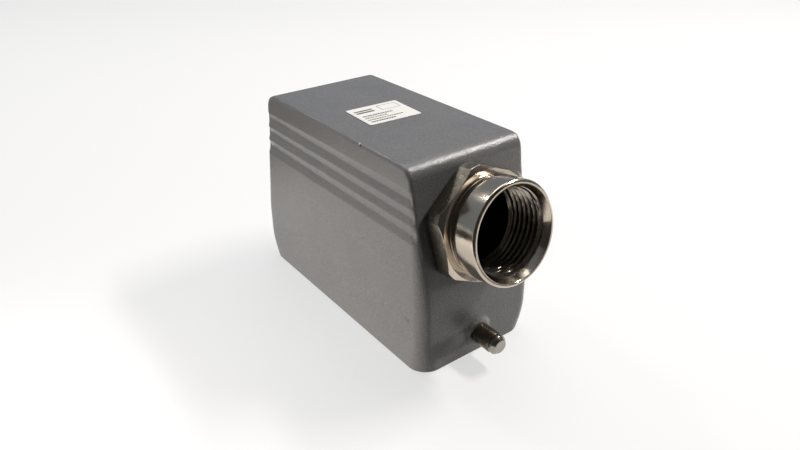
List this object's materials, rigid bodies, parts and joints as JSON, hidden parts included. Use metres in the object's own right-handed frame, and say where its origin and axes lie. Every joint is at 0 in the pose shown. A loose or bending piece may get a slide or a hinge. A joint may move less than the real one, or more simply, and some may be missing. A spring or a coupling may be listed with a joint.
{
  "type": "heavy duty rectangular connector",
  "caption": "Cast grey connector hood with leaning ends, grip flutes, a hexagon cable adapter, roller pegs at both ends and a male screw-terminal insert inside.",
  "frame": {"origin": "centre of the mating rim, on the rim's plane", "axes": "+X towards the cable entry, along the length; +Z away from the mating side"},
  "size_m": [0.117, 0.043, 0.0644],
  "materials": {
    "grey_casting": "grey powder coat, fine orange peel, satin",
    "nickel_plated_brass": "turned and nickel plated, bright",
    "seal_rubber": "matte",
    "peg_steel": "turned, bright",
    "label_film": null,
    "insert_plastic": "light grey moulding, satin",
    "plated_contact": "silver plated, bright",
    "clamp_brass": "nickel plated, satin",
    "zinc_plated_steel": "zinc plated, satin"
  },
  "bodies": {
    "hood": {"hood_shell": "grey_casting", "cable_entry_adapter": "nickel_plated_brass", "entry_seal_ring": "seal_rubber", "locking_pin_front": "peg_steel", "locking_pin_rear": "peg_steel", "rating_label": "label_film", "contact_carrier": "insert_plastic", "terminal_carrier": "insert_plastic", "contact_pins_left": "plated_contact", "contact_pins_right": "plated_contact", "terminal_screws_left": "zinc_plated_steel", "terminal_screws_right": "zinc_plated_steel", "wire_guards_left": "zinc_plated_steel", "wire_guards_right": "zinc_plated_steel", "earth_plate_front": "zinc_plated_steel", "earth_plate_rear": "zinc_plated_steel", "earth_screw_front": "zinc_plated_steel", "earth_screw_rear": "zinc_plated_steel", "earth_clamp_front": "clamp_brass", "earth_clamp_rear": "clamp_brass", "fixing_screws": "zinc_plated_steel", "fixing_spring_washers": "zinc_plated_steel"},
    "front_roller": {"pin_roller_front": "peg_steel"},
    "rear_roller": {"pin_roller_rear": "peg_steel"}
  },
  "joints": [
    {"name": "front_roller_turn", "type": "hinge", "parent": "hood", "child": "front_roller", "pos_m": [0.05031, 0, 0.008], "axis": [1, 0, 0], "continuous": true},
    {"name": "rear_roller_turn", "type": "hinge", "parent": "hood", "child": "rear_roller", "pos_m": [-0.05031, 0, 0.008], "axis": [-1, 0, 0], "continuous": true}
  ]
}
